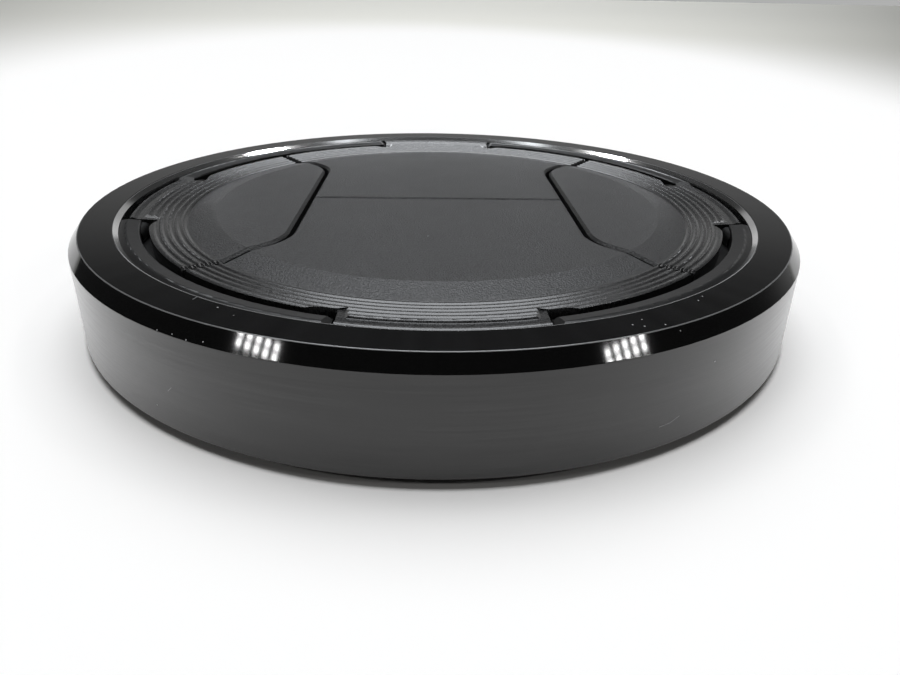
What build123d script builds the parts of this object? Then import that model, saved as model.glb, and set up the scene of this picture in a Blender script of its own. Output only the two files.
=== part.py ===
"""Self-opening lens cap: a chamfered metal ring with four sprung leaves.

A lens barrel that comes out from below pushes the leaves up and outwards, and the springs close them again.
Millimetres, +Z up. The origin is on the axis of the cap, in the plane that it stands on.
The front of the cap is towards -Y.
"""

import os
from math import hypot, sqrt

from build123d import *

# Metal ring
ring_radius = 28.0  # at the foot of the chamfer
ring_wall_flare = 0.26  # lower edge of the wall further out than the foot of the chamfer
ring_height = 7.14
ring_lift = 0.5  # lower edge of the ring's wall above the plane that the cap stands on
ring_skirt_wall = 1.6
ring_foot_chamfer = 0.15
ring_chamfer_width = 0.7
ring_chamfer_height = 0.88
ring_face_width = 2.2
ring_inner_chamfer = 0.33
ring_edge_rounding = 0.08
ring_flange_thickness = 2.04

# Leaves: a flat middle, a shallow cone round it, and concentric ridges out to the rim
leaf_thickness = 1.3
leaf_drop = 0.34  # flat middle below the face of the ring
leaf_split_share = 0.588  # half-width of the front and rear leaves, as part of the flat middle's radius
leaf_corner_radius = 4.0
leaf_edge_bevel = 0.2
side_seam_gap = 0.36
centre_seam_gap = 0.16
cone_width = 2.1
cone_drop = 0.32
ridge_pitch = 0.53
ridge_depth = 0.075
ridge_rounding = 0.18
ridge_floor_share = 0.14  # part of the pitch that is flat between two ridges
ridge_flank_share = 0.3  # part of the pitch under each slope of a ridge
rim_ridge_count = 5
tab_ridge_count = 1  # ridges beyond the rim, on the tabs alone
rim_rise = 0.24  # from the foot of the cone to the tops of the ridges at the rim

# Hinge tabs
tab_half_width = 5.82
tab_side_margin = 0.5  # plain strip beside the ridges
tab_ridge_slope = 2.0  # run of the ridges' sloping ends for each unit of their height
tab_rounding = 0.3
tab_lip_width = 0.65  # raised end of the tab, beyond the plain strip
tab_lip_rise = 0.31  # before its rounding
tab_ring_gap = 0.37
tab_overhang = 1.8  # from the hinge axis to the end of the tab
notch_half_width = 7.8
notch_depth = 1.2  # straight edge beside the tab, inwards of the hinge axis
hinge_depth = 0.92  # hinge axis below the tops of the ridges at the rim
knuckle_radius = 0.6
knuckle_half_length = 3.6

# Hinge pins and their torsion springs
pin_radius = 0.35
pin_half_length = 8.0
pin_bevel = 0.08
wire_radius = 0.07
coil_pitch = 0.17
coil_turns = 8.25
spring_leg = 1.3
fixed_leg = 1.75

# Plastic frame with the bezel
bezel_width = 1.35
bezel_drop = 0.3  # crest of the bezel below the face of the ring
bezel_dish = 0.15  # fall from the crest to the lip
bezel_crest_inset = 0.45
bezel_shoulder_drop = 0.14
bezel_lip_rounding = 0.1
slot_bevel_width = 0.5  # sloping ends of the bezel beside the tabs
slot_bevel_depth = 0.35
rim_gap = 0.65  # between the lip and the rims of the leaves
pocket_wall = 0.4
ear_radius = 0.65
ear_length = 1.8

# Rear mount ring
mount_depth = 2.2
mount_shoulder = 0.7  # from the edge of the plate to the collar
mount_collar_wall = 1.6
mount_plate_thickness = 0.8
bayonet_count = 3
bayonet_depth = 0.8
bayonet_height = 0.7
bayonet_roof = 0.6  # height of the entry slot's end below the plate
bayonet_entry_angle = 14
bayonet_run_angle = 40

# Screws
screw_count = 4
screw_inset = 1.2  # from the bore of the mount to the screws' axes
screw_radius = 0.5
screw_head_radius = 0.9
screw_head_height = 0.45
screw_length = 2.8
screw_slot_length = 1.08
screw_slot_width = 0.22
screw_slot_depth = 0.2

# Clearances
running_clearance = 0.03  # leaf on its pin
seat_clearance = 0.02  # pieces that are fixed to each other
skirt_clearance = 0.1  # frame and mount ring in the skirt
slot_clearance = 0.18  # tab in its slot
sweep_clearance = 0.15  # round what turns with the tab
rest_clearance = 0.1  # leaf above its ledge
coil_clearance = 0.05  # spring round its pin and inside its channel

# Heights
ring_top = ring_lift + ring_height
flange_bottom = ring_top - ring_flange_thickness
leaf_top = ring_top - leaf_drop
leaf_bottom = leaf_top - leaf_thickness
valley_top = leaf_top - cone_drop
rim_top = valley_top + rim_rise
crest_top = ring_top - bezel_drop
lip_top = crest_top - bezel_dish
ledge_top = leaf_bottom - rest_clearance
hinge_height = rim_top - hinge_depth
frame_bottom = mount_depth + mount_plate_thickness

# Radii, from the ring inwards
ring_foot_radius = ring_radius + ring_wall_flare
face_inner_radius = ring_radius - ring_chamfer_width - ring_face_width
flange_bore = face_inner_radius - ring_inner_chamfer
skirt_bore = ring_radius - ring_skirt_wall
frame_outer_radius = flange_bore - seat_clearance
crest_radius = frame_outer_radius - bezel_crest_inset
lip_radius = frame_outer_radius - bezel_width
rim_radius = lip_radius - rim_gap
tab_radius = flange_bore - tab_ring_gap
hinge_radius = tab_radius - tab_overhang
valley_radius = rim_radius - rim_ridge_count * ridge_pitch
cone_radius = valley_radius - cone_width
leaf_split = leaf_split_share * cone_radius
ridge_end_radius = rim_radius + tab_ridge_count * ridge_pitch
plate_radius = skirt_bore - skirt_clearance
mount_collar_radius = plate_radius - mount_shoulder
mount_bore_radius = mount_collar_radius - mount_collar_wall

# Springs and what turns with the tabs
coil_radius = pin_radius + coil_clearance + wire_radius
channel_radius = coil_radius + wire_radius + coil_clearance
sweep_radius = hypot(tab_overhang, crest_top - hinge_height)
coil_start = knuckle_half_length + coil_clearance + wire_radius
slot_half_width = tab_half_width + slot_clearance
slot_floor = hinge_height - sweep_radius - sweep_clearance
pocket_inner = hinge_radius - coil_radius - wire_radius - seat_clearance
frame_bore = pocket_inner - pocket_wall
tall = 4 * ring_height  # longer than any cut needs
standing = (Align.CENTER, Align.CENTER, Align.MIN)  # a cylinder that stands on its place


def rounded_outline(points, roundings):
    """A flat face with the given corners, some of them rounded."""
    outline = make_face(Polyline(*points, close=True))
    for corner, radius in roundings:
        outline = fillet(outline.vertices().sort_by_distance(corner)[0], radius)
    return outline


def turned(points, roundings=()):
    """A solid turned about Z from an outline of (radius, height) points, with some corners rounded."""
    return revolve(Plane.XZ * rounded_outline(points, roundings), Axis.Z)


def bar(x_low, x_high, y_low, y_high, z_low, z_high):
    """A box between two corners."""
    box = Box(x_high - x_low, y_high - y_low, z_high - z_low, align=Align.MIN)
    return Pos(x_low, y_low, z_low) * box


def prism_along_y(points, y_low, y_high):
    """A solid with an outline of (x, z) points that runs along Y."""
    outline = make_face(Polyline(*points, close=True))
    return Pos(0, y_high, 0) * extrude(Plane.XZ * outline, y_high - y_low)


def rod_along_x(radius, x_low, x_high):
    """A round bar on the front hinge axis."""
    rod = Cylinder(radius, x_high - x_low, align=standing)
    return Pos(x_low, -hinge_radius, hinge_height) * Rot(0, 90, 0) * rod


def four_ways(solid):
    """Copies of a front detail at the front, the right, the rear and the left."""
    return [Rot(0, 0, turn) * solid for turn in (0, 90, 180, 270)]


def outer_ring():
    chamfer_foot = (ring_radius, ring_top - ring_chamfer_height)
    face_outer = (ring_radius - ring_chamfer_width, ring_top)
    face_inner = (face_inner_radius, ring_top)
    return turned(
        [
            (skirt_bore, ring_lift),
            (ring_foot_radius - ring_foot_chamfer, ring_lift),
            (ring_foot_radius, ring_lift + ring_foot_chamfer),
            chamfer_foot,
            face_outer,
            face_inner,
            (flange_bore, ring_top - ring_inner_chamfer),
            (flange_bore, flange_bottom),
            (skirt_bore, flange_bottom),
        ],
        [(edge, ring_edge_rounding) for edge in (chamfer_foot, face_outer, face_inner)],
    )


def hinge_frame():
    frame_flange_top = flange_bottom - seat_clearance
    shoulder = (frame_outer_radius, crest_top - bezel_shoulder_drop)
    crest = (crest_radius, crest_top)
    lip = (lip_radius, lip_top)
    frame = turned(
        [
            (frame_bore, frame_bottom),
            (plate_radius, frame_bottom),
            (plate_radius, frame_flange_top),
            (frame_outer_radius, frame_flange_top),
            shoulder,
            crest,
            lip,
            (lip_radius, ledge_top),
            (frame_bore, ledge_top),
        ],
        [(crest, bezel_crest_inset), (lip, bezel_lip_rounding)],
    )
    ears = [
        rod_along_x(ear_radius, slot_half_width, slot_half_width + ear_length),
        rod_along_x(ear_radius, -slot_half_width - ear_length, -slot_half_width),
    ]
    slot = bar(
        -slot_half_width, slot_half_width,
        -hinge_radius - sweep_radius - sweep_clearance, -pocket_inner,
        slot_floor, tall,
    )
    mouth_half_width = slot_half_width + slot_bevel_width
    slot_mouth = prism_along_y(
        [
            (-slot_half_width, crest_top - slot_bevel_depth),
            (slot_half_width, crest_top - slot_bevel_depth),
            (mouth_half_width, crest_top),
            (mouth_half_width, tall),
            (-mouth_half_width, tall),
            (-mouth_half_width, crest_top),
        ],
        -ring_radius, -pocket_inner,
    )
    pin_hole = rod_along_x(pin_radius + seat_clearance, -ring_radius, ring_radius)
    for ear in ears:
        frame += four_ways(ear)
    frame -= four_ways(slot)
    frame -= four_ways(slot_mouth)
    frame -= four_ways(pin_hole)
    pilot_depth = screw_length - mount_plate_thickness + screw_head_height + rest_clearance
    pilot = Cylinder(screw_radius + seat_clearance, pilot_depth, align=standing)
    frame -= [place * Pos(0, 0, frame_bottom) * pilot for place in screw_places()]
    return frame


def ridged_top(count):
    """Points of the ridges' outline, from the foot of the cone outwards, and the top corners among them."""
    floor = ridge_floor_share * ridge_pitch
    flank = ridge_flank_share * ridge_pitch
    rise = rim_rise / (rim_ridge_count * ridge_pitch)
    ridge = ((0, ridge_depth), (floor, ridge_depth), (floor + flank, 0), (ridge_pitch - flank, 0))
    points = []
    tops = []
    for index in range(count):
        for step, depth in ridge:
            offset = index * ridge_pitch + step
            point = (valley_radius + offset, valley_top + rise * offset - depth)
            points.append(point)
            if depth == 0:
                tops.append(point)
    return points, tops


def leaf_outline(ridges):
    """Points and roundings of half the leaves' section, with its ridges or with a plain rim."""
    rim, tops = ridged_top(rim_ridge_count + tab_ridge_count)
    margin_top = lip_top - ridge_depth
    margin = [(ridge_end_radius, margin_top), (tab_radius - tab_lip_width, margin_top)]
    edge = (tab_radius, margin_top + tab_lip_rise)
    roundings = [(edge, tab_rounding)]
    if ridges:
        roundings += [(top, ridge_rounding) for top in tops]
    else:
        rim = rim[:1]
    middle = [(0, leaf_bottom), (0, leaf_top), (cone_radius, leaf_top)]
    return middle + rim + margin + [edge, (tab_radius, leaf_bottom)], roundings


def front_outline():
    """Outline of the front leaf without its tab, before it is cut to the rim."""
    far = ring_radius
    face = make_face(Polyline(
        (-leaf_split, -centre_seam_gap / 2),
        (-leaf_split, -leaf_split),
        (-far, -far),
        (far, -far),
        (leaf_split, -leaf_split),
        (leaf_split, -centre_seam_gap / 2),
        close=True,
    ))
    corners = [face.vertices().sort_by_distance((x, -leaf_split))[0] for x in (-leaf_split, leaf_split)]
    return fillet(corners, leaf_corner_radius + side_seam_gap)


def side_outline():
    """Outline of a side leaf, drawn at the front so that it turns into place as the front leaf does."""
    near = leaf_split + side_seam_gap
    half_width = near - sqrt(2) * side_seam_gap
    far = ring_radius + near - half_width
    face = make_face(Polyline(
        (-half_width, -near),
        (-ring_radius, -far),
        (ring_radius, -far),
        (half_width, -near),
        close=True,
    ))
    corners = [face.vertices().sort_by_distance((x, -near))[0] for x in (-half_width, half_width)]
    return fillet(corners, leaf_corner_radius)


def leaf(outline, seam_offset):
    """A leaf with its tab, knuckle, pin hole and spring channels, at the front.

    The seam offset is how far the leaf's diagonal sides lie from the lines through the cap's axis.
    """
    notch_line = hinge_radius - notch_depth
    rim = Pos(0, 0, -tall / 2) * extrude(outline & Circle(rim_radius), tall)
    notch = bar(-notch_half_width, notch_half_width, -ring_radius, -notch_line, -tall, tall)
    tab = bar(-tab_half_width, tab_half_width, -ring_radius, -notch_line, -tall, tall)
    solid = turned(*leaf_outline(ridges=True)) & (rim - notch + (tab & tab_ridge_room(notch_line)))
    solid += turned(*leaf_outline(ridges=False)) & tab
    solid = bevelled(solid)
    seam = seam_bevel(seam_offset)
    solid -= [seam, mirror(seam, Plane.YZ)]
    solid += rod_along_x(knuckle_radius, -knuckle_half_length, knuckle_half_length)
    solid -= rod_along_x(pin_radius + running_clearance, -ring_radius, ring_radius)
    for side in (-1, 1):
        solid -= spring_room(side)
    return solid


def tab_ridge_room(notch_line):
    """The space that the ridges on a tab fill, with sloping ends."""
    foot_height = lip_top - ridge_depth
    foot_half_width = tab_half_width - tab_side_margin
    low_half_width = foot_half_width + tab_ridge_slope * (foot_height - leaf_bottom)
    top_half_width = foot_half_width - tab_ridge_slope * (ring_top - foot_height)
    return prism_along_y(
        [
            (-low_half_width, leaf_bottom),
            (low_half_width, leaf_bottom),
            (top_half_width, ring_top),
            (-top_half_width, ring_top),
        ],
        -ring_radius, -notch_line,
    )


def seam_bevel(offset):
    """What is cut away for the bevel along the right diagonal seam, over the cone and the ridges."""
    outwards = Vector(1, -1, 0).normalized()
    inwards = Vector(-1, -1, 0).normalized()
    side = Plane(origin=inwards * offset, x_dir=outwards, z_dir=inwards)
    above = Pos(cone_radius, leaf_bottom) * Rectangle(lip_radius - cone_radius, tall, align=Align.MIN)
    lowered = Pos(0, -leaf_edge_bevel) * rounded_outline(*leaf_outline(ridges=True))
    # the cut climbs as it runs inwards, and goes on past the surface
    return extrude(side * (above - lowered), 2 * leaf_edge_bevel, dir=inwards + Vector(0, 0, 1))


def bevelled(solid):
    """Bevels the edges of the flat middle along the seams."""
    flat = solid.faces().filter_by(Axis.Z).sort_by(Axis.Z)[-1]
    lines = flat.edges().filter_by(GeomType.LINE)
    corners = flat.edges().filter_by(GeomType.CIRCLE).filter_by(lambda edge: edge.radius < leaf_split)
    return chamfer(lines + corners, leaf_edge_bevel)


def spring_room(side):
    """The channel round a spring in the underside of the tab, and the groove that holds its moving leg."""
    ends = sorted((side * knuckle_half_length, side * slot_half_width))
    groove_ends = sorted((side * knuckle_half_length, side * (coil_start + wire_radius + coil_clearance)))
    below = leaf_bottom - knuckle_radius
    room = rod_along_x(channel_radius, *ends)
    room += bar(
        *ends, -hinge_radius - channel_radius, -hinge_radius + channel_radius, below, hinge_height)
    room += bar(
        *groove_ends, -hinge_radius - spring_leg - coil_clearance, -hinge_radius,
        below, hinge_height + channel_radius)
    return room


def hinge_pin():
    pin = rod_along_x(pin_radius, -pin_half_length, pin_half_length)
    return chamfer(pin.edges().filter_by(GeomType.CIRCLE), pin_bevel)


def torsion_spring(side):
    """A coil round the pin, with a leg in the tab's groove and a leg down the wall of the pocket."""
    coil = Edge.make_helix(coil_pitch, coil_turns * coil_pitch, coil_radius, lefthand=True)
    # the helix starts at +X and climbs in Z: this turns its axis along X and its start to the top of the coil
    coil = Pos(coil_start, -hinge_radius, hinge_height) * Rot(0, 0, 90) * Rot(90, 0, 0) * Rot(0, 0, 90) * coil
    start = coil @ 0
    end = coil @ 1
    moving = Line(start + (0, -spring_leg, 0), start)
    fixed = Line(end, end - (0, 0, fixed_leg))
    path = Wire([moving, coil, fixed])
    section = Plane(moving @ 0, z_dir=moving % 0) * Circle(wire_radius)
    spring = sweep(section, path)
    return spring if side > 0 else mirror(spring, Plane.YZ)


def mount_ring():
    ring = turned([
        (mount_bore_radius, 0),
        (mount_collar_radius, 0),
        (mount_collar_radius, mount_depth),
        (plate_radius, mount_depth),
        (plate_radius, frame_bottom),
        (frame_bore, frame_bottom),
        (frame_bore, mount_depth),
        (mount_bore_radius, mount_depth),
    ])
    roof = mount_depth - bayonet_roof
    entry = bayonet_slot(bayonet_entry_angle, 0, roof)
    run = bayonet_slot(bayonet_run_angle, roof - bayonet_height, roof)
    for index in range(bayonet_count):
        ring -= Rot(0, 0, 360 * index / bayonet_count) * (entry + run)
    hole = Cylinder(screw_radius + skirt_clearance, tall)
    recess_radius = screw_head_radius + skirt_clearance
    recess = Cylinder(recess_radius, screw_head_height + seat_clearance, align=standing)
    for place in screw_places():
        ring -= place * hole
        ring -= place * Pos(0, 0, mount_depth) * recess
    return ring


def bayonet_slot(angle, z_low, z_high):
    """A slot of the given angle in the wall of the bore."""
    outer = mount_bore_radius + bayonet_depth
    inner = mount_bore_radius - bayonet_depth
    face = make_face(Polyline(
        (inner, z_low),
        (outer, z_low),
        (outer, z_high),
        (inner, z_high),
        close=True,
    ))
    return revolve(Plane.XZ * face, Axis.Z, angle)


def screw_places():
    """Places of the screws, halfway between the leaves' tabs."""
    radius = mount_bore_radius - screw_inset
    step = 360 / screw_count
    return [Rot(0, 0, step / 2 + step * index) * Pos(radius, 0, 0) for index in range(screw_count)]


def mount_screws():
    head = Cylinder(screw_head_radius, screw_head_height, align=standing)
    shank = Cylinder(screw_radius, screw_length, align=standing)
    slot = Box(screw_slot_length, screw_slot_width, 2 * screw_slot_depth)
    slots = slot + Rot(0, 0, 90) * slot
    screw = Pos(0, 0, mount_depth) * (head + Pos(0, 0, screw_head_height) * shank - slots)
    return Compound([place * screw for place in screw_places()])


def save(name, solid):
    export_step(solid, os.path.join("parts", name + ".step"))


os.makedirs("parts", exist_ok=True)
save("outer_ring", outer_ring())
save("hinge_frame", hinge_frame())
save("mount_ring", mount_ring())
save("mount_screws", mount_screws())

front_leaf = leaf(front_outline(), 0)
side_leaf = leaf(side_outline(), side_seam_gap)
pin = hinge_pin()
springs = {"right": torsion_spring(1), "left": torsion_spring(-1)}
for side, turn, solid in (
    ("front", 0, front_leaf),
    ("right", 90, side_leaf),
    ("rear", 180, front_leaf),
    ("left", 270, side_leaf),
):
    save(side + "_leaf", Rot(0, 0, turn) * solid)
    save(side + "_hinge_pin", Rot(0, 0, turn) * pin)
    for end, spring in springs.items():
        save(side + "_spring_" + end, Rot(0, 0, turn) * spring)
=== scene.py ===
import math

import bpy
from mathutils import Matrix, Vector


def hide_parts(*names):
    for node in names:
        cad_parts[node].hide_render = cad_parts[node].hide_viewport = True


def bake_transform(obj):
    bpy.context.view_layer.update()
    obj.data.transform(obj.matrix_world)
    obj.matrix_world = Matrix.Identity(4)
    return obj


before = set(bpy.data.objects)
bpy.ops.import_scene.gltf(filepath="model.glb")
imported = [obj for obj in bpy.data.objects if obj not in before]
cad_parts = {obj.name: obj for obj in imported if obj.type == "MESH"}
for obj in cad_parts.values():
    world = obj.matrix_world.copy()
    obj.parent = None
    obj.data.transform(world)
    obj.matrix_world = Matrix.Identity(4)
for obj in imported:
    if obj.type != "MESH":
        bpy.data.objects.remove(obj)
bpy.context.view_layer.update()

# Lengths are in metres, and most are written as millimetres times MM
MM = 0.001

# Sides of the cap, by their turn from the front in degrees
sides = {"front": 0, "right": 90, "rear": 180, "left": 270}

# Ring, as its solid has it
ring_foot_radius = 28.26 * MM
ring_top = 7.64 * MM
chamfer_foot = 6.76 * MM
face_outer_radius = 27.3 * MM
face_inner_radius = 25.1 * MM

# Leaf, hinge and springs, as their solids have them
ridge_start = 20.1 * MM
hinge_radius = 22.6 * MM
hinge_height = 6.3 * MM
coil_radius = 0.47 * MM
wire_radius = 0.07 * MM
coil_start = 3.72 * MM
coil_pitch = 0.17 * MM
coil_turns = 8.25
moving_leg = 1.3 * MM
fixed_leg = 1.75 * MM

# Fineness of the spring wire: points to a turn of its coil, and corners round it
coil_steps = 18
wire_corners = 10

# Dust, a fibre and scratches, as the photo shows them: places and, for the dust, radii, in millimetres
ring_dust = (
    (10.4, -24.54, 7.64, 0.055),
    (11.55, -24.34, 7.64, 0.055),
    (9.81, -24.38, 7.64, 0.045),
    (10.48, -23.76, 7.64, 0.04),
    (14.86, -20.74, 7.64, 0.045),
    (14.42, -21.32, 7.64, 0.045),
    (-12.08, -22.5, 7.64, 0.055),
    (-10.97, -23.48, 7.64, 0.025),
    (12.31, -24.58, 7.4, 0.045),
    (-12.19, -25.06, 6.92, 0.05),
    (-15.05, -23.56, 6.81, 0.05),
    (-14.07, -24.12, 6.86, 0.045),
    (-13.19, -24.66, 6.81, 0.05),
    (-16.19, -23.11, 1.78, 0.06),
    (14.95, -23.76, 5.07, 0.06),
)
ring_strokes = (
    ((11.8, -25.62, 2.02), (12.48, -25.29, 2.05)),
    ((12.48, -25.29, 2.05), (13.06, -24.97, 2.3)),
    ((-13.73, -21.5, 7.64), (-13.49, -20.94, 7.64)),
    ((-15.08, -23.77, 3.15), (-14.82, -23.93, 3.44)),
)
stroke_half_width = 0.035
leaf_speck = (-0.88, -9.71, 7.3, 0.075)

# Scattered dust: the radius of a speck, then the spacing of cells and the share of them with a speck
speck_radius = 0.05 * MM
ring_specks = (2.4 * MM, 0.2)
leaf_specks = (3.2 * MM, 0.15)
plastic_specks = (3.0 * MM, 0.3)

# Look of the marks, and the solid middle of each kind as part of its radius
dust_tone = 0.5
plastic_dust_tone = 0.4
dust_roughness = 0.8
stroke_tone = 0.2
spot_core = 0.5
stroke_core = 0.4
speck_core = 0.4

# Borders between finishes, each as the start and the end of a smooth step
wall_border = (chamfer_foot + 0.03 * MM, chamfer_foot - 0.03 * MM)
face_border = (ring_top - 0.05 * MM, ring_top - 0.01 * MM)
bare_border = (face_inner_radius - 0.02 * MM, face_inner_radius - 0.06 * MM)
outer_edge_radii = (face_outer_radius - 0.06 * MM, face_outer_radius - 0.04 * MM)
outer_edge_heights = (ring_top - 0.04 * MM, ring_top - 0.03 * MM)
worn_edge_radii = (face_inner_radius + 0.045 * MM, face_inner_radius + 0.03 * MM)
worn_edge_reach = (-12 * MM, -18 * MM)  # along Y, towards the front
ridge_border = (ridge_start - 0.1 * MM, ridge_start + 0.1 * MM)
# Painted shadow under the ring: inside this border the floor's glow is left out, so the floor there is
# darker
painted_shadow_border = (ring_foot_radius - 0.1 * MM, ring_foot_radius + 0.3 * MM)

# Finish of the ring: here and below, a pair is the lowest and the highest value of a pattern
turning_line_size = 0.12 * MM
turning_line_stretch = (0.02, 0.02, 1)
turning_line_depth = 0.004 * MM
wall_tones = (0.0005, 0.004)
wall_roughness = (0.27, 0.36)
wall_coat = (0.6, 1.15)
wall_coat_roughness = 0.2
gloss_tone = 0.004
chamfer_roughness = 0.06
face_roughness = (0.14, 0.24)
face_streak_size = 0.05
ring_ior = 1.37
bare_metal_tone = 0.93
bare_metal_roughness = 0.12
outer_edge_metal = 0.2
worn_edge_metal = 0.8

# Finish of the leaves
leaf_grain_size = 0.13 * MM
leaf_grain_roughness = 0.6
leaf_grain_depth = 0.03 * MM
leaf_grain_border = (0.33, 0.67)
leaf_tones = (0.0, 0.032)
leaf_cloud_size = 3 * MM
leaf_cloud_share = (0.9, 1.1)
leaf_roughness = (0.32, 0.4)
leaf_bump = 0.55
leaf_ior = 1.46
ridge_roughness = (0.22, 0.3)
ridge_bump = 0.15
ridge_coat = 0.48
ridge_coat_roughness = 0.2

# Finish of the plain plastics
plastic_grain_size = 0.16 * MM
plastic_grain_depth = 0.015 * MM
plastic_bump = 0.5
plastic_cloud_size = 2.5 * MM
plastic_specular = 0.35
frame_tones = (0.001, 0.012)
frame_roughness = (0.25, 0.37)
mount_tones = (0.018, 0.03)
mount_roughness = (0.44, 0.56)

# Finish of the steels, and for each of them its tone, its roughness and the size of its lines
steel_line_depth = 0.004 * MM
steel_bump = 0.6
steel_cloud_size = 1.5 * MM
steel_dull_share = 0.85
pin_steel = (0.55, (0.22, 0.38), 0.05 * MM)
screw_steel = (0.2, (0.3, 0.46), 0.05 * MM)
spring_steel = (0.5, (0.24, 0.4), 0.03 * MM)

# Camera, with its angles in degrees and its lens in millimetres
camera_target = Vector((0, 0, 0.5 * MM))
camera_distance = 58.43 * MM
camera_elevation = 22.267
camera_azimuth = -0.8
camera_yaw = -1.131
camera_pitch = -5.728
camera_roll = -0.669
camera_lens = 25.814
camera_clip = (1 * MM, 20)

# Lamps: small panels of diodes, by the azimuth and the elevation that they shine from, in degrees
lamp_distance = 1.0
lamps = (
    ("left_front_lamp", -58.7, 36.0),
    ("right_front_lamp", 60.1, 34.5),
    ("left_rear_lamp", -115.3, 55.9),
    ("right_rear_lamp", 115.9, 55.7),
)
diode_columns = 5
diode_rows = 2
column_pitch = 43 * MM
row_pitch = 19 * MM
diode_width = 22 * MM
diode_height = 11 * MM
panel_roll = 19
lamp_power = 0.85

# Floor: paper that turns into a grey backdrop where the line to it from the viewpoint is flat enough
floor_reach = 8.0
floor_colour = (0.684, 0.67, 0.652, 1)
floor_glow = 0.33
floor_from_camera = 54 * MM
floor_below_camera = 22.6 * MM
nearest_reach = 10 * MM
backdrop_colour = (1.02, 1.0, 0.92)
backdrop_tone = 0.85
# Painted shade: the backdrop is made darker towards the sides, as a vignette
backdrop_side_shade = 0.92  # towards the sides
backdrop_slope = 0.028
backdrop_slope_right = 0.03  # more of it towards the right
paper_slope = 0.051
paper_slope_right = 0.008
paper_slope_aside = 0.2
widest_spread = 0.5
widest_right = 0.7
backdrop_radii = (0.8, 3.0)  # all round, far from the object

# Sky: a pale backdrop low behind the object, with its edges in degrees
low_sky_tone = 0.48
middle_sky_tone = 0.3
high_sky_tone = 0.03
low_sky_edge = (12, 4)
middle_sky_edge = (19.5, 16)
pale_sky_left_edge = (-52, -22)
pale_sky_right_edge = (85, 35)
sky_behind_tone = 0.43  # what the camera sees past the floor's end

# Strip light from behind the object to above it, with its edges in degrees
strip_light_colour = (0.97, 1.0, 1.04)
rear_light_tone = 4.5
top_light_tone = 4.9
strip_low_edge = (38, 48)
strip_high_edge = (96, 88)
rear_light_edge = (72, 58)
strip_side_edge = (0.41, 0.28)  # as part of the sky's radius

# Corners of a square, anticlockwise, and the way up
square = ((-1, -1), (1, -1), (1, 1), (-1, 1))
upwards = Vector((0, 0, 1))


class Nodes:
    """Nodes of a material or of the world, written as short calls that mostly give back a socket."""

    def __init__(self, tree):
        self.tree = tree

    def put(self, socket, value):
        if isinstance(value, bpy.types.NodeSocket):
            self.tree.links.new(value, socket)
        else:
            socket.default_value = value

    def add(self, kind, inputs=None, **settings):
        node = self.tree.nodes.new(kind)
        for key, value in settings.items():
            setattr(node, key, value)
        for key, value in (inputs or {}).items():
            self.put(node.inputs[key], value)
        return node

    def math(self, operation, a, b=0.0):
        return self.add("ShaderNodeMath", {0: a, 1: b}, operation=operation).outputs[0]

    def vector(self, operation, inputs, output=0):
        return self.add("ShaderNodeVectorMath", inputs, operation=operation).outputs[output]

    def line(self, value, gain, base):
        """A value times a gain, on top of a base."""
        return self.math("ADD", self.math("MULTIPLY", value, gain), base)

    def step(self, value, low, high):
        """0 below low, 1 above high, smooth between; the other way round where low is above high."""
        ends = {"From Min": low, "From Max": high, "Value": value}
        return self.add("ShaderNodeMapRange", ends, interpolation_type="SMOOTHSTEP").outputs[0]

    def scaled(self, value, low, high):
        """A value from 0 to 1 turned into one from low to high."""
        return self.add("ShaderNodeMapRange", {"Value": value, "To Min": low, "To Max": high}).outputs[0]

    def mix(self, share, a, b):
        return self.add("ShaderNodeMix", {"Factor": share, "A": a, "B": b}).outputs[0]

    def mix_colour(self, share, a, b):
        node = self.add("ShaderNodeMix", data_type="RGBA")
        self.put(node.inputs[0], share)
        self.put(node.inputs[6], a)
        self.put(node.inputs[7], b)
        return node.outputs[2]

    def colour(self, red, green, blue):
        return self.add("ShaderNodeCombineColor", {0: red, 1: green, 2: blue}).outputs[0]

    def shade(self, tone):
        """A grey of a tone that varies over the surface."""
        return self.colour(tone, tone, tone)

    def noise(self, place, size, detail=2.0, roughness=0.5):
        inputs = {"Vector": place, "Scale": 1 / size, "Detail": detail, "Roughness": roughness}
        return self.add("ShaderNodeTexNoise", inputs).outputs[0]

    def bump(self, height, depth, strength=1.0):
        inputs = {"Height": height, "Distance": depth, "Strength": strength}
        return self.add("ShaderNodeBump", inputs).outputs[0]

    def specks(self, place, spacing, share):
        """1 on specks of dust, about one to a cell of the given spacing, on a share of the cells."""
        cells = self.add("ShaderNodeTexVoronoi", {"Vector": place, "Scale": 1 / spacing})
        radius = speck_radius / spacing
        near = self.step(cells.outputs["Distance"], radius, speck_core * radius)
        chance = self.add("ShaderNodeSeparateColor", {0: cells.outputs["Color"]}).outputs[0]
        return self.math("MULTIPLY", near, self.math("LESS_THAN", chance, share))

    def spot(self, place, x, y, z, radius):
        """1 on a round spot, written in millimetres."""
        away = self.vector("DISTANCE", {0: place, 1: (x * MM, y * MM, z * MM)}, "Value")
        return self.step(away, radius * MM, spot_core * radius * MM)

    def stroke(self, place, start, end, half_width):
        """1 along a straight stroke, written in millimetres."""
        first = Vector(start) * MM
        along = Vector(end) * MM - first
        offset = self.vector("SUBTRACT", {0: place, 1: first})
        run = self.vector("DOT_PRODUCT", {0: offset, 1: along}, "Value")
        ends = {0: run, 1: along.length_squared}
        share = self.add("ShaderNodeMath", ends, operation="DIVIDE", use_clamp=True).outputs[0]
        nearest = self.vector("SCALE", {0: along, "Scale": share})
        away = self.vector("DISTANCE", {0: offset, 1: nearest}, "Value")
        return self.step(away, half_width * MM, stroke_core * half_width * MM)

    def any(self, masks):
        """The highest of several masks."""
        total = masks[0]
        for mask in masks[1:]:
            total = self.math("MAXIMUM", total, mask)
        return total


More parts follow.
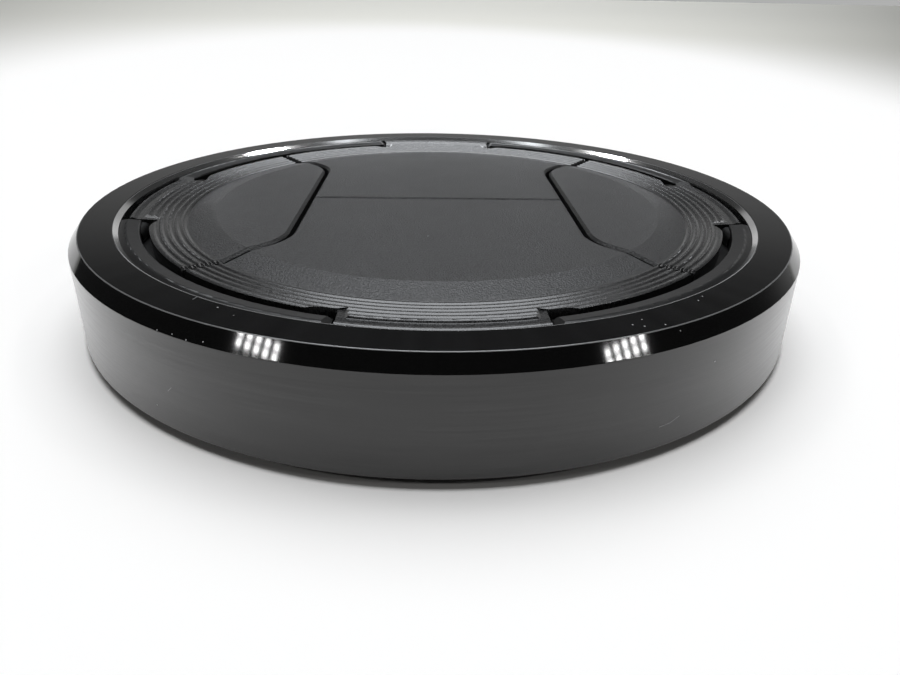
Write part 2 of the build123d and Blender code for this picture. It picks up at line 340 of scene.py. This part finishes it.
class Finish(Nodes):
    """A material with its shader and the object's own coordinates to hand."""

    def __init__(self, name):
        self.material = bpy.data.materials.new(name)
        self.material.use_nodes = True
        super().__init__(self.material.node_tree)
        self.shader = self.tree.nodes["Principled BSDF"]
        self.place = self.add("ShaderNodeTexCoord").outputs["Object"]
        self.x, self.y, self.z = self.add("ShaderNodeSeparateXYZ", {0: self.place}).outputs
        flat = self.add("ShaderNodeCombineXYZ", {"X": self.x, "Y": self.y}).outputs[0]
        self.radius = self.vector("LENGTH", {0: flat}, "Value")
        self.heading = self.vector("NORMALIZE", {0: flat})

    def set(self, **values):
        for key, value in values.items():
            self.put(self.shader.inputs[key.replace("_", " ")], value)


def grey(tone):
    """A grey that is the same all over."""
    return (tone, tone, tone, 1)


def ring_metal(f):
    """Masks of the ring's bare inner chamfer, and of that with the edges that are rubbed bright."""
    bare = f.step(f.radius, *bare_border)
    outer_edge = f.math("MULTIPLY", f.step(f.radius, *outer_edge_radii), f.step(f.z, *outer_edge_heights))
    worn_edge = f.math("MULTIPLY", f.step(f.radius, *worn_edge_radii), f.step(f.y, *worn_edge_reach))
    outer_edge = f.math("MULTIPLY", outer_edge, outer_edge_metal)
    worn_edge = f.math("MULTIPLY", worn_edge, worn_edge_metal)
    return bare, f.any([bare, outer_edge, worn_edge])


def ring_finish():
    """Black anodised aluminium: satin turned wall, gloss chamfer, semi-gloss face."""
    f = Finish("ring_black_anodised")
    wall = f.step(f.z, *wall_border)
    face = f.step(f.z, *face_border)
    stretched = f.vector("MULTIPLY", {0: f.place, 1: turning_line_stretch})
    lines = f.noise(stretched, turning_line_size, detail=3)
    streaks = f.noise(f.heading, face_streak_size, detail=3)
    bare, metal = ring_metal(f)
    dust = f.any([f.spot(f.place, *mark) for mark in ring_dust] + [f.specks(f.place, *ring_specks)])
    strokes = f.any([f.stroke(f.place, start, end, stroke_half_width) for start, end in ring_strokes])
    black = f.mix(wall, gloss_tone, f.scaled(lines, *wall_tones))
    colour = f.mix_colour(dust, f.shade(f.mix(metal, black, bare_metal_tone)), grey(dust_tone))
    gloss = f.mix(face, chamfer_roughness, f.scaled(streaks, *face_roughness))
    roughness = f.mix(bare, f.mix(wall, gloss, f.scaled(lines, *wall_roughness)), bare_metal_roughness)
    f.set(Base_Color=f.mix_colour(strokes, colour, grey(stroke_tone)))
    f.set(Metallic=metal, Roughness=f.mix(dust, roughness, dust_roughness))
    f.set(Normal=f.bump(f.math("MULTIPLY", lines, wall), turning_line_depth))
    f.set(Coat_Weight=f.math("MULTIPLY", wall, f.scaled(lines, *wall_coat)))
    f.set(IOR=ring_ior, Coat_Roughness=wall_coat_roughness)
    return f.material


def leaf_finish():
    """Black moulded plastic with a fine spark-eroded grain, and smoother ridges."""
    f = Finish("leaf_black_grained")
    grain = f.noise(f.place, leaf_grain_size, detail=2, roughness=leaf_grain_roughness)
    grain = f.step(grain, *leaf_grain_border)
    cloud = f.noise(f.place, leaf_cloud_size, detail=3)
    dust = f.any([f.spot(f.place, *leaf_speck), f.specks(f.place, *leaf_specks)])
    tone = f.math("MULTIPLY", f.scaled(grain, *leaf_tones), f.scaled(cloud, *leaf_cloud_share))
    ridges = f.step(f.radius, *ridge_border)
    f.set(Base_Color=f.mix_colour(dust, f.shade(tone), grey(dust_tone)))
    f.set(Roughness=f.mix(ridges, f.scaled(cloud, *leaf_roughness), f.scaled(cloud, *ridge_roughness)))
    f.set(Normal=f.bump(grain, leaf_grain_depth, f.mix(ridges, leaf_bump, ridge_bump)))
    f.set(Coat_Weight=f.math("MULTIPLY", ridges, ridge_coat))
    f.set(IOR=leaf_ior, Coat_Roughness=ridge_coat_roughness)
    return f.material


def plastic_finish(name, tones, roughness):
    """Plain black moulded plastic with a faint grain."""
    f = Finish(name)
    grain = f.noise(f.place, plastic_grain_size, detail=2)
    cloud = f.noise(f.place, plastic_cloud_size, detail=3)
    dust = f.specks(f.place, *plastic_specks)
    f.set(Base_Color=f.mix_colour(dust, f.shade(f.scaled(grain, *tones)), grey(plastic_dust_tone)))
    f.set(Roughness=f.scaled(cloud, *roughness))
    f.set(Normal=f.bump(grain, plastic_grain_depth, plastic_bump))
    f.set(Specular_IOR_Level=plastic_specular)
    return f.material


def steel_finish(name, tone, roughness, line_size):
    """Drawn or turned steel."""
    f = Finish(name)
    lines = f.noise(f.place, line_size, detail=3)
    cloud = f.noise(f.place, steel_cloud_size, detail=2)
    f.set(Base_Color=f.shade(f.scaled(cloud, steel_dull_share * tone, tone)), Metallic=1.0)
    f.set(Roughness=f.scaled(lines, *roughness))
    f.set(Normal=f.bump(lines, steel_line_depth, steel_bump))
    return f.material


def add_mesh(name, vertices, faces, material):
    """A new object in the scene, with a mesh of its own."""
    mesh = bpy.data.meshes.new(name)
    mesh.from_pydata(vertices, [], faces)
    mesh.materials.append(material)
    piece = bpy.data.objects.new(name, mesh)
    bpy.context.scene.collection.objects.link(piece)
    return piece


def tube(points, radius, corners):
    """Vertices and faces of a round wire along the points, closed at both ends."""
    vertices, faces = [], []
    across = None
    for index, point in enumerate(points):
        ahead = points[min(index + 1, len(points) - 1)] - points[max(index - 1, 0)]
        ahead.normalize()
        across = ahead.orthogonal() if across is None else across - ahead * across.dot(ahead)
        across.normalize()
        beside = ahead.cross(across)
        for corner in range(corners):
            turn = 2 * math.pi * corner / corners
            vertices.append(point + radius * (math.cos(turn) * across + math.sin(turn) * beside))
    for index in range(len(points) - 1):
        for corner in range(corners):
            following = (corner + 1) % corners
            start, end = index * corners, (index + 1) * corners
            faces.append((start + corner, start + following, end + following, end + corner))
    faces.append(tuple(reversed(range(corners))))
    faces.append(tuple(range(len(vertices) - corners, len(vertices))))
    return vertices, faces


def spring_points(mirrored):
    """Centreline of a front torsion spring: a leg under the tab, the coil, a leg down the pocket."""
    centre = Vector((coil_start, -hinge_radius, hinge_height))
    points = [centre + Vector((0, -moving_leg, coil_radius))]
    for index in range(round(coil_turns * coil_steps) + 1):
        turn = 2 * math.pi * index / coil_steps
        along = coil_pitch * index / coil_steps
        points.append(centre + Vector((along, coil_radius * math.sin(turn), coil_radius * math.cos(turn))))
    points.append(points[-1] - Vector((0, 0, fixed_leg)))
    if mirrored:
        points = [Vector((-p.x, p.y, p.z)) for p in points]
    return points


def springs(material):
    """Torsion springs of wire, each in place of its CAD node; on the real cap they wind as their leaf
    turns, but these are fixed.
    """
    for side, turn in sides.items():
        spin = Matrix.Rotation(math.radians(turn), 3, "Z")
        for end in ("left", "right"):
            points = [spin @ p for p in spring_points(end == "left")]
            vertices, faces = tube(points, wire_radius, wire_corners)
            node = f"{side}_spring_{end}"
            piece = add_mesh(node + "_wire", vertices, faces, material)
            piece.data.polygons.foreach_set("use_smooth", [True] * len(faces))
            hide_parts(node)
            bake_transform(piece)


def dress(names, material):
    """Gives CAD nodes their finish."""
    for name in names:
        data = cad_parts[name].data
        data.materials.clear()
        data.materials.append(material)


def direction(azimuth, elevation):
    """Unit vector out from the object, by degrees round to the right from the front, and degrees up."""
    turn, climb = math.radians(azimuth), math.radians(elevation)
    return Vector((math.sin(turn) * math.cos(climb), -math.cos(turn) * math.cos(climb), math.sin(climb)))


def lamp_material():
    """Light of a strength that gives the lamps their power, whatever the size of their diodes."""
    area = diode_columns * diode_rows * diode_width * diode_height
    strength = lamp_power / area * lamp_distance ** 2 / len(lamps)
    material = bpy.data.materials.new("lamp_diodes")
    material.use_nodes = True
    nodes = Nodes(material.node_tree)
    glow = nodes.add("ShaderNodeEmission", {"Strength": strength}).outputs[0]
    nodes.put(material.node_tree.nodes["Material Output"].inputs["Surface"], glow)
    return material


def lamp_panel(azimuth, elevation):
    """Vertices and faces of a panel of diodes that faces the object."""
    ahead = direction(azimuth, elevation)
    roll = Matrix.Rotation(math.radians(math.copysign(panel_roll, -azimuth)), 3, ahead)
    right = roll @ ahead.cross(upwards).normalized()
    up = right.cross(ahead)
    vertices, faces = [], []
    for column in range(diode_columns):
        for row in range(diode_rows):
            across = (column - (diode_columns - 1) / 2) * column_pitch
            over = (row - (diode_rows - 1) / 2) * row_pitch
            middle = ahead * lamp_distance + right * across + up * over
            first = len(vertices)
            for a, b in square:
                vertices.append(middle + (right * diode_width * a + up * diode_height * b) / 2)
            faces.append((first + 3, first + 2, first + 1, first))
    return vertices, faces


def add_lamps():
    material = lamp_material()
    for name, azimuth, elevation in lamps:
        vertices, faces = lamp_panel(azimuth, elevation)
        panel = add_mesh(name, vertices, faces, material)


def backdrop(f):
    """How far the floor has turned into the backdrop, and the backdrop's colour."""
    reach = f.math("MAXIMUM", f.math("ADD", f.y, floor_from_camera), nearest_reach)
    slope = f.math("DIVIDE", floor_below_camera, reach)
    aside = f.math("DIVIDE", f.x, reach)
    spread = f.math("MINIMUM", f.math("MULTIPLY", aside, aside), widest_spread)
    right = f.math("MINIMUM", f.math("MAXIMUM", aside, 0.0), widest_right)
    all_backdrop = f.line(right, backdrop_slope_right, backdrop_slope)
    all_paper = f.line(spread, paper_slope_aside, f.line(right, paper_slope_right, paper_slope))
    far = f.math("MAXIMUM", f.step(slope, all_paper, all_backdrop), f.step(f.radius, *backdrop_radii))
    # Painted shade: the backdrop's tone drops towards the sides
    tone = f.math("SUBTRACT", backdrop_tone, f.math("MULTIPLY", spread, backdrop_side_shade))
    return far, f.colour(*(f.math("MULTIPLY", tone, share) for share in backdrop_colour))


def floor_material():
    """Matt paper that is paler to the eye than it lights, though not far off, and not under the ring,
    where the glow is left out as a painted shadow.
    """
    f = Finish("floor_paper")
    far, far_colour = backdrop(f)
    colour = f.mix_colour(far, floor_colour, far_colour)
    matt = f.add("ShaderNodeBsdfDiffuse", {"Color": colour}).outputs[0]
    path = f.add("ShaderNodeLightPath").outputs
    seen = f.any([path[kind] for kind in ("Is Camera Ray", "Is Glossy Ray", "Is Transmission Ray")])
    # Painted shadow: the glow stops at the ring's foot, so the floor under the ring stays dark
    outside_painted_shadow = f.step(f.radius, *painted_shadow_border)
    paleness = f.math("MULTIPLY", f.math("MULTIPLY", seen, outside_painted_shadow), floor_glow)
    paleness = f.math("MULTIPLY", paleness, f.math("SUBTRACT", 1.0, far))
    glow = f.add("ShaderNodeEmission", {"Strength": paleness}).outputs[0]
    both = f.add("ShaderNodeAddShader", {0: matt, 1: glow}).outputs[0]
    f.put(f.tree.nodes["Material Output"].inputs["Surface"], both)
    return f.material


def add_floor():
    corners = [(x * floor_reach, y * floor_reach, 0) for x, y in square]
    floor = add_mesh("floor", corners, [(0, 1, 2, 3)], floor_material())


def angles(edge):
    return [math.radians(angle) for angle in edge]


def heights(edge):
    return [math.sin(angle) for angle in angles(edge)]


def pale_sky(nodes, x, y, z):
    """Tone of the sky: a pale backdrop behind the object, brightest near the floor."""
    bearing = nodes.math("ARCTAN2", x, y)
    left = nodes.step(bearing, *angles(pale_sky_left_edge))
    right = nodes.step(bearing, *angles(pale_sky_right_edge))
    tone = nodes.mix(nodes.step(z, *heights(middle_sky_edge)), high_sky_tone, middle_sky_tone)
    tone = nodes.mix(nodes.step(z, *heights(low_sky_edge)), tone, low_sky_tone)
    return nodes.mix(nodes.math("MULTIPLY", left, right), high_sky_tone, tone)


def strip_light(nodes, x, y, z):
    """Tone of the strip light, by its width and by how far it climbs."""
    climb = nodes.math("ARCTAN2", z, y)
    strip = nodes.step(nodes.math("ABSOLUTE", x), *strip_side_edge)
    for edge in (strip_low_edge, strip_high_edge):
        strip = nodes.math("MULTIPLY", strip, nodes.step(climb, *angles(edge)))
    rear = nodes.step(climb, *angles(rear_light_edge))
    return nodes.math("MULTIPLY", strip, nodes.mix(rear, top_light_tone, rear_light_tone))


def add_world():
    world = bpy.data.worlds.new("room")
    world.use_nodes = True
    bpy.context.scene.world = world
    nodes = Nodes(world.node_tree)
    place = nodes.add("ShaderNodeTexCoord").outputs["Generated"]
    x, y, z = nodes.add("ShaderNodeSeparateXYZ", {0: place}).outputs
    tone = pale_sky(nodes, x, y, z)
    glow = strip_light(nodes, x, y, z)
    seen = nodes.add("ShaderNodeLightPath").outputs["Is Camera Ray"]
    channels = []
    for share in strip_light_colour:
        lit = nodes.math("ADD", tone, nodes.math("MULTIPLY", glow, share))
        channels.append(nodes.mix(seen, lit, sky_behind_tone))
    nodes.put(world.node_tree.nodes["Background"].inputs["Color"], nodes.colour(*channels))


def add_camera():
    data = bpy.data.cameras.new("camera")
    data.lens = camera_lens
    data.clip_start, data.clip_end = camera_clip
    camera = bpy.data.objects.new("camera", data)
    bpy.context.scene.collection.objects.link(camera)
    bpy.context.scene.camera = camera
    outwards = direction(camera_azimuth, camera_elevation)
    right = upwards.cross(outwards).normalized()
    up = outwards.cross(right)
    level = Matrix((right, up, outwards)).transposed()
    aim = Matrix.Rotation(math.radians(camera_yaw), 3, "Y")
    aim = aim @ Matrix.Rotation(math.radians(camera_pitch), 3, "X")
    aim = aim @ Matrix.Rotation(math.radians(-camera_roll), 3, "Z")
    camera.matrix_world = (level @ aim).to_4x4()
    camera.location = camera_target + outwards * camera_distance


dress(["outer_ring"], ring_finish())
dress([side + "_leaf" for side in sides], leaf_finish())
dress(["hinge_frame"], plastic_finish("frame_black_plastic", frame_tones, frame_roughness))
dress(["mount_ring"], plastic_finish("mount_black_plastic", mount_tones, mount_roughness))
dress([side + "_hinge_pin" for side in sides], steel_finish("pin_ground_steel", *pin_steel))
dress(["mount_screws"], steel_finish("screw_black_steel", *screw_steel))
springs(steel_finish("spring_drawn_wire", *spring_steel))
add_floor()
add_lamps()
add_world()
add_camera()
bpy.context.scene.view_settings.view_transform = "Standard"
